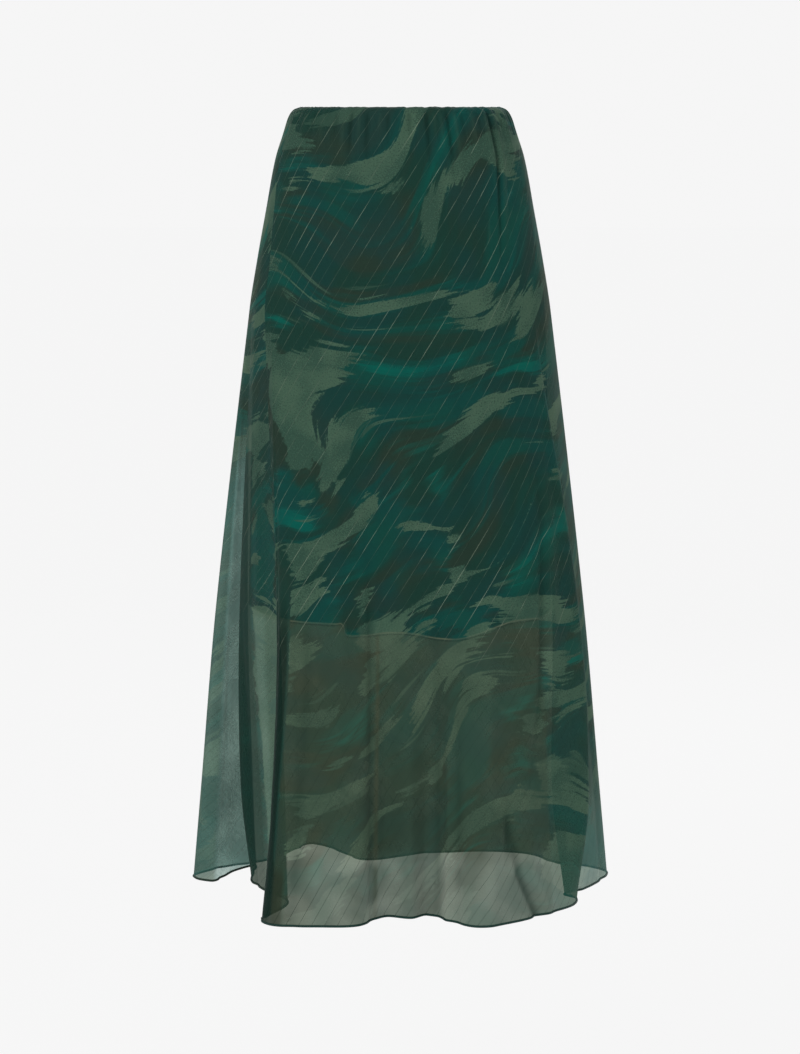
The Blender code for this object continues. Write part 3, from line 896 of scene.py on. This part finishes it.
# painted shade: hollows let less light through, ridges a little more
opaque = opaque + chiffon.between(hollow, 0.0, 1.0, 0.0, 0.07)
opaque = opaque - chiffon.between(hollow, -1.0, 0.0, 0.03, 0.0)
opaque = opaque + ripple * mist * 0.022
crepe = chiffon.between(mottle, -0.30, 0.30)
printed = chiffon.mix(crepe * pale, chiffon.mix(pale * 0.45, printed, BLACK_GREEN), printed)
striped = chiffon.mix(stripe, printed, chiffon.mix(shine, DULL_THREAD, GLINT))
chiffon.feed(chiffon.shader.inputs["Base Color"], striped)
chiffon.feed(chiffon.shader.inputs["Metallic"], stripe * shine * 0.5)
chiffon.sheer(opaque + stripe * 0.2, mist, LIGHT_THROUGH, COOL_LIGHT_THROUGH)
chiffon.bump(mottle + cloudy * 2.0, CREPE_RELIEF, 0.3)
print("chiffon nodes:", len(chiffon.tree.nodes))

# %% [markdown]
# ## Lining, thread and elastic
# The lining is an opaque, slightly lustrous twill in the darkest green. The hems are rolled and overcast
# with thread: dark green in front, browner behind, and pale on the lining. The elastic is knitted in ribs.
# Twill lines, ribs, stitches and turns of thread are all sine waves along the flat cut, counted in radians
# for each metre. Ribs, stitches and turns also get painted light on top and painted shade between them.

# %% Plain finishes
TWILL_LINES = 5200.0
THREAD_TURNS = 5600.0
KNIT_RIBS = 2750.0
KNIT_STITCHES = 4200.0
TWILL_RELIEF = 0.0002      # metres
THREAD_RELIEF = 0.0003
KNIT_RELIEF = 0.0003

lining_cloth = Finish("lining_twill", Roughness=0.5, Specular_IOR_Level=0.15, Sheen_Weight=0.03)
across, up = lining_cloth.cut()
twill = lining_cloth.maths("SINE", (across + up * 0.8) * TWILL_LINES)
slub = lining_cloth.noise(across * 4.0, up, 0.0, 60.0, 3.0, 0.6)
lining_cloth.feed(lining_cloth.shader.inputs["Base Color"],
                  lining_cloth.mix(slub, paint(18, 38, 31), paint(26, 47, 39)))
lining_cloth.bump(twill * 0.3 + slub, TWILL_RELIEF, 0.4)


def thread_finish(name, dark, light):
    """Overcast thread: short turns along the hem, painted light on each turn and painted shade between."""
    finish = Finish(name, Roughness=0.55, Specular_IOR_Level=0.2)
    along, around = finish.cut()
    turn = finish.maths("SINE", (along + around * 1.5) * THREAD_TURNS) * 0.5 + 0.5
    uneven_light = finish.noise(along, around, 0.0, 90.0, 2.0, 0.5)
    finish.feed(finish.shader.inputs["Base Color"], finish.mix(turn * uneven_light * 1.4, dark, light))
    finish.bump(turn, THREAD_RELIEF, 0.6)
    return finish.material


hem_thread = thread_finish("hem_thread", paint(6, 36, 30), paint(14, 58, 50))
back_hem_thread = thread_finish("back_hem_thread", paint(16, 34, 26), paint(38, 58, 44))
lining_thread = thread_finish("lining_thread", paint(110, 116, 92), paint(196, 196, 164))

knit = Finish("ribbed_elastic", Roughness=0.8, Specular_IOR_Level=0.15)
across, up = knit.cut()
rib = knit.maths("SINE", up * KNIT_RIBS) * 0.5 + 0.5
stitch = knit.maths("SINE", across * KNIT_STITCHES) * 0.5 + 0.5
# painted light and shade: ribs and stitches lighter on top, darker between
knitted = knit.mix(rib * 0.7 + stitch * 0.3, paint(22, 40, 35), paint(44, 64, 56))
knit.feed(knit.shader.inputs["Base Color"], knitted)
knit.bump(rib + stitch * 0.4, KNIT_RELIEF, 0.6)
print("finishes:", [material.name for material in bpy.data.materials])

# %% [markdown]
# ## Where the cloth is paler, darker or browner
# How a place looks depends on what hangs behind it: the lining, another fold, or nothing but light. That
# light and shade is painted into the cloth, partly with print: darker where folds lie on top of each other
# or in shade, paler where light shines through, browner where no lining is behind. The patches stand in a
# table. Each one has soft sides and fades in with depth, and most go on down to the hem. They are painted on
# the vertices, so that they stay with the cloth from every side.

# %% Patches of painted light and shade
# what is painted, from and to which place and how soft its sides are in centimetres, the depths in metres
# where it starts, is full and ends, and how much of it
LIGHT_AND_SHADE_PATCHES = (
    ("wash", -13.0, 12.0, 2.0, 0.350, 0.490, 0.96, 0.1),
    ("wash", 14.2, 26.0, 0.6, 0.380, 0.440, 0.96, -1.3),
    ("wash", 27.5, 35.0, 0.8, 0.594, 0.598, 0.96, 1.1),
    ("wash", 37.4, 42.9, 0.8, 0.480, 0.640, 0.96, -2.0),
    ("wash", 37.4, 44.6, 0.8, 0.850, 0.885, 0.96, -2.0),
    ("wash", 58.5, 64.5, 1.0, 0.700, 0.760, 0.87, -0.5),
    ("wash", 86.0, 92.0, 2.0, 0.580, 0.620, 0.96, 0.4),
    ("olive", 43.8, 57.4, 0.6, 0.570, 0.580, 0.96, 0.42),
    ("olive", 57.4, 84.0, 0.8, 0.570, 0.580, 0.96, 0.36),
    ("olive", 112.0, 162.0, 2.0, 0.580, 0.620, 0.96, 0.26),
    ("mist", -13.0, 12.5, 1.0, 0.350, 0.490, 0.96, 0.35),
    ("mist", -13.0, -2.0, 1.5, 0.350, 0.490, 0.96, 0.95),
    ("mist", 5.0, 11.5, 2.0, 0.350, 0.490, 0.96, 1.5),
    ("mist", 27.5, 35.0, 0.8, 0.594, 0.598, 0.96, 0.2),
    ("mist", 49.0, 84.0, 1.5, 0.850, 0.870, 0.96, 0.12),
    ("mist", 93.0, 113.0, 1.5, 0.760, 0.880, 0.96, 0.45),
)


def patch_amounts(kind, turns, depths):
    """How much of one kind of patch of painted light and shade there is at each point."""
    total = np.zeros(depths.shape)
    for start, end, side, first, full, last, amount in [row[1:] for row in LIGHT_AND_SHADE_PATCHES if row[0] == kind]:
        for lap in (-HEM_GIRTH, 0.0, HEM_GIRTH):
            place = (turns[None, :] + lap) / CENTIMETRE
            inside = soft_step(place, start - side, start) * (1.0 - soft_step(place, end, end + side))
            total += amount * inside * soft_step(depths, first, full) * (depths <= last)
    return total


print("washes:", len(LIGHT_AND_SHADE_PATCHES), "of", sorted({row[0] for row in LIGHT_AND_SHADE_PATCHES}))

# %% [markdown]
# The lining's edge hangs a few centimetres behind the front. Somebody who stands in front looks down on it a
# little, so it shows on the front higher up than it hangs, by a share of that gap. The edge is read as one
# line from left to right, and each point of the front is measured against it.

# %% Lining's edge as it shows through the front
EDGE_SHOWN = (0.430, 0.852)    # places between which it shows
EDGE_RISE = 0.18           # how far up it shows for each metre that it hangs behind
EDGE_POINTS = 636


def lining_edge(turns):
    """Depth of the lining's lower edge at places round the hem."""
    angles = np.array([row[0] for row in LINING_EDGE])
    edge = np.array([row[1] for row in LINING_EDGE])
    return lap_curve(angles, edge, form_angle(turns, HIP), 360.0)


def below_lining(turns, points):
    """How far points of the front are below the lining's edge as it shows through, or 1 where it doesn't."""
    ring = np.linspace(0.0, HEM_GIRTH, EDGE_POINTS)
    edge = LINING.points(ring, lining_edge(ring)[None, :])[0]
    edge = edge[edge[:, 1] < 0.0]
    edge = edge[np.argsort(edge[:, 0])]
    behind = np.interp(points[..., 0], edge[:, 0], edge[:, 1]) - points[..., 1]
    line = np.interp(points[..., 0], edge[:, 0], edge[:, 2]) + behind * EDGE_RISE
    shown = (turns > EDGE_SHOWN[0]) & (turns < EDGE_SHOWN[1])
    return np.where(shown[None, :], line - points[..., 2], 1.0)


front_edge = lining_edge(np.linspace(*EDGE_SHOWN, EDGE_POINTS))
print("lining's edge in front: depth", round(front_edge.min(), 3), "to", round(front_edge.max(), 3))

# %% [markdown]
# ## The outer layer
# The outer layer is a front and a back that meet in two side seams. At the top each panel is turned in over
# the elastic, so its first rows run up the inside. The two are cut from different places of the printed
# cloth, as real panels are, so the strokes don't run on across a seam.

# %% Outer layer
ROWS = 292
TOP_ROWS = 0.19            # share of the rows that lie in the gathered top
TOP_DEPTH = 0.070          # how far down that goes
FRONT_COLUMNS = 300
BACK_COLUMNS = 318
HOLLOW_DEPTH = 0.0022      # relief at which a gather is at its darkest
LONG_CREASE_SHADE = 0.30   # long creases are shallower slopes, so they darken less for the same relief
BACK_PRINT = (2.35, 0.70)  # where the back lies on the printed cloth, from the front
# depth and distance in from the surface of the rows that are turned in over the elastic
TURNED_IN = ((0.016, 0.0060), (0.012, 0.0062), (0.008, 0.0062), (0.005, 0.0058), (0.003, 0.0050),
             (0.0015, 0.0040), (0.0, 0.0030), (0.0, 0.0015))


def outer_points(turns, depths, inset):
    """Hung points of the outer layer, gathers and creases included."""
    ruffle = top_ruffle(turns, depths)
    pushed = gathers(turns, depths) + creases(turns, depths) + RUFFLE_OUT * ruffle - inset
    points = OUTER.points(turns, depths) + OUTER.ways(turns, depths)[0] * pushed[..., None]
    points[..., 2] += RUFFLE_UP * ruffle
    return points


def outer_layer(name, first, last, count, print_shift):
    """One panel, from one side seam round to the other."""
    turns = columns(first, last, count)
    hanging = np.interp(np.linspace(0.0, 1.0, ROWS), (0.0, TOP_ROWS, 1.0), (0.0, TOP_DEPTH, SKIRT_LENGTH))
    down = np.concatenate([[depth for depth, inset in TURNED_IN], hanging])
    inset = np.concatenate([[inset for depth, inset in TURNED_IN], np.zeros(ROWS)])
    depths = np.repeat(down[:, None], len(turns), axis=1)
    points = outer_points(turns, depths, inset[:, None])
    plain = OUTER.points(turns, depths) - OUTER.ways(turns, depths)[0] * inset[:, None, None]
    cut = flat_cut(plain, len(TURNED_IN))
    relief = gathers(turns, depths) + creases(turns, depths) * LONG_CREASE_SHADE
    painted = {kind: patch_amounts(kind, turns, depths) for kind in ("wash", "olive", "mist")}
    # the relief, painted as shade in its hollows and as highlight on its ridges
    painted["hollow"] = -relief / HOLLOW_DEPTH
    painted["below"] = below_lining(turns, points)
    return cloth(name, points, cut + np.array(print_shift), chiffon.material, painted)


outer_front = outer_layer("outer_layer_front", LEFT_SEAM, RIGHT_SEAM, FRONT_COLUMNS, (0.0, 0.0))
outer_back = outer_layer("outer_layer_back", RIGHT_SEAM, LEFT_SEAM, BACK_COLUMNS, BACK_PRINT)

# %% [markdown]
# ## Rolled hems
# A chiffon hem is rolled to a cord about three millimetres thick and overcast, which makes the thin outline
# that the eye follows. It is a strip of cloth closed round a small ring that runs along the edge. The hem of
# the lining is made by the same function, with a thinner cord.

# %% Rolled hems
CORD_SIDES = 8
HEM_RADIUS = 0.0014
LINING_HEM_RADIUS = 0.0009


def edge_cord(name, line, outward, radius, finish):
    """A cord along an edge. outward is a unit vector out of the cloth at each point of the edge."""
    down = np.cross(outward, np.gradient(line, axis=0))
    down /= np.linalg.norm(down, axis=-1, keepdims=True)
    around = np.linspace(0.0, 2.0 * math.pi, CORD_SIDES + 1)[:, None]
    points = line + radius * (np.cos(around)[..., None] * outward + np.sin(around)[..., None] * down)
    length = np.concatenate([[0.0], np.cumsum(np.linalg.norm(np.diff(line, axis=0), axis=1))])
    cut = np.stack(np.broadcast_arrays(length, radius * around), axis=-1)
    return cloth(name, points, cut, finish)


def outer_hem(name, first, last, count, finish):
    """The rolled hem of one outer panel."""
    turns = columns(first, last, count)
    depths = np.full((1, len(turns)), SKIRT_LENGTH)
    line = outer_points(turns, depths, 0.0)[0]
    return edge_cord(name, line, OUTER.ways(turns, depths)[0][0], HEM_RADIUS, finish)


hem_front = outer_hem("outer_hem_front", LEFT_SEAM, RIGHT_SEAM, FRONT_COLUMNS, hem_thread)
hem_back = outer_hem("outer_hem_back", RIGHT_SEAM, LEFT_SEAM, BACK_COLUMNS, back_hem_thread)

# %% [markdown]
# ## Side seams
# Sheer cloth is mostly joined by narrow seams with the raw edges folded in. All that shows of one is a line
# where more layers let less light through. Here it is a strip of the same chiffon just inside the cloth.

# %% Side seams
SEAM_WIDTH = 0.005
SEAM_ACROSS = (-0.5, -0.17, 0.17, 0.5)
SEAM_ROWS = 220
SEAM_INSET = 0.0007        # just inside the cloth
SEAM_TOP = 0.012           # depth where it starts, inside the turned-in top
SEAM_END = SKIRT_LENGTH - 0.001
SEAM_PRINT = 5.0           # how far along the printed cloth it is cut


def seam_strip(name, fold):
    """A narrow strip down the inside of a seam."""
    depths = np.linspace(SEAM_TOP, SEAM_END, SEAM_ROWS)[:, None]
    turns = np.array([place_of(fold)])
    middle = outer_points(turns, depths, SEAM_INSET)
    round_way = OUTER.ways(turns, depths)[1]
    points = np.concatenate([middle + round_way * SEAM_WIDTH * share for share in SEAM_ACROSS], axis=1)
    length = np.linspace(0.0, -SKIRT_LENGTH, SEAM_ROWS)[:, None]
    across = SEAM_PRINT + np.linspace(0.0, SEAM_WIDTH, len(SEAM_ACROSS))
    cut = np.stack(np.broadcast_arrays(across, length), axis=-1)
    return cloth(name, points, cut, chiffon.material)


seam_left = seam_strip("outer_seam_left", LEFT_SEAM)
seam_right = seam_strip("outer_seam_right", RIGHT_SEAM)

# %% [markdown]
# ## The lining
# The lining is cut straighter than the outer layer and hangs free of it below the hip. Its hem rides up at
# the sides, runs in small waves, and has one short step in front where it is caught. It shares the gathers
# of the waist, which fade out sooner because the lining has less cloth to gather.

# %% Lining
LINING_ROWS = 150
LINING_TOP_ROWS = 0.2      # share of the rows that lie in the gathered top
LINING_TOP_SHARE = 0.10    # share of the length that the gathered top takes up
LINING_COLUMNS = 220
LINING_TOP = 0.004         # depth where it starts
LINING_INSET = 0.0021      # middle of its thickness at the waist, in from the outer layer
LINING_FADE = (0.030, 0.120)   # depths between which the gathers leave the lining


def lining_points(turns, depths):
    """Hung points of the lining, gathers included."""
    stand_off = LINING_INSET + LINING_EASE * np.clip((depths - CASING_END) / (HIP - CASING_END), 0.0, 1.0)
    shared = 1.0 - soft_step(depths, *LINING_FADE)
    pushed = gathers(turns, depths) * shared + RUFFLE_OUT * top_ruffle(turns, depths) - stand_off
    return LINING.points(turns, depths) + LINING.ways(turns, depths)[0] * pushed[..., None]


def lining_layer(name, first, last):
    """One panel of the lining and its hem."""
    turns = columns(first, last, LINING_COLUMNS)
    rows = np.linspace(0.0, 1.0, LINING_ROWS)
    share = np.interp(rows, (0.0, LINING_TOP_ROWS, 1.0), (0.0, LINING_TOP_SHARE, 1.0))[:, None]
    depths = LINING_TOP + (lining_edge(turns)[None, :] - LINING_TOP) * share
    points = lining_points(turns, depths)
    panel = cloth(name, points, flat_cut(LINING.points(turns, depths)), lining_cloth.material)
    outward = LINING.ways(turns, depths[-1:])[0][0]
    return panel, edge_cord(name + "_hem", points[-1], outward, LINING_HEM_RADIUS, lining_thread)


lining_front, lining_hem_front = lining_layer("lining_front_cloth", LEFT_SEAM, RIGHT_SEAM)
lining_back, lining_hem_back = lining_layer("lining_back_cloth", RIGHT_SEAM, LEFT_SEAM)

# %% [markdown]
# ## The waist elastic
# Seen from above, the inside of the waist shows a flat knitted elastic, caught under the turned-in edge. Its
# section is a thin rectangle with ribs on the side that faces the body, swept round the waist and closed.

# %% Waist elastic
ELASTIC_TOP = 0.010
ELASTIC_OUTER = 0.0031     # its two sides, in from the outer layer
ELASTIC_INNER = 0.0050
ELASTIC_COLUMNS = 360
RIBS = 9
RIB_RELIEF = 0.00018
RIB_POINTS = RIBS * 4 + 1

inner_down = np.linspace(CASING_END, ELASTIC_TOP, RIB_POINTS)
inner_rib = RIB_RELIEF * np.cos(np.linspace(0.0, 2.0 * math.pi * RIBS, RIB_POINTS))
section_down = np.concatenate([[ELASTIC_TOP, CASING_END], inner_down, [ELASTIC_TOP]])
section_in = np.concatenate([[ELASTIC_OUTER, ELASTIC_OUTER], ELASTIC_INNER + inner_rib, [ELASTIC_OUTER]])
waist_turns = columns("wing_tip", "wing_tip", ELASTIC_COLUMNS)
elastic_depths = np.repeat(section_down[:, None], len(waist_turns), axis=1)
elastic_out = OUTER.ways(waist_turns, elastic_depths)[0]
elastic_push = gathers(waist_turns, elastic_depths) - section_in[:, None]
elastic_points = OUTER.points(waist_turns, elastic_depths) + elastic_out * elastic_push[..., None]
elastic = cloth("waist_elastic_band", elastic_points, flat_cut(elastic_points), knit.material)

# %% [markdown]
# ## Putting the pieces on the body
# Every piece rides on the one body of the model and stands for the solid that it was made on. Each sheet
# states the flat size it was cut to, which is read from its own UV map, because that map is the flat cut.

def cut_of(piece):
    """Width, length and area of the flat cut in the UV map."""
    uv = np.zeros(len(piece.data.loops) * 2, np.float32)
    piece.data.uv_layers["cut"].data.foreach_get("uv", uv)
    corners = uv.reshape(-1, 4, 2).astype(float)
    width, length = uv.reshape(-1, 2).max(axis=0) - uv.reshape(-1, 2).min(axis=0)
    one = corners[:, 2] - corners[:, 0]
    other = corners[:, 3] - corners[:, 1]
    area = float(np.abs(one[:, 0] * other[:, 1] - one[:, 1] * other[:, 0]).sum() / 2.0)
    return float(width), float(length), area


def declare(piece, node, trims):
    """States a panel's flat cut, hides its solid and puts it on the body with the trims that are sewn to it.
    """
    width, length, area = cut_of(piece)
    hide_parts(node)
    for part in (piece, *trims):
        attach(part, "root")
    print(f"{piece.name}: cut {width:.3f} x {length:.3f} m, {area:.3f} square metres")


declare(outer_front, "overlay_front", [hem_front, seam_left, seam_right])
declare(outer_back, "overlay_back", [hem_back])
declare(lining_front, "lining_front", [lining_hem_front])
declare(lining_back, "lining_back", [lining_hem_back])
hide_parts("waist_elastic")
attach(elastic, "root")
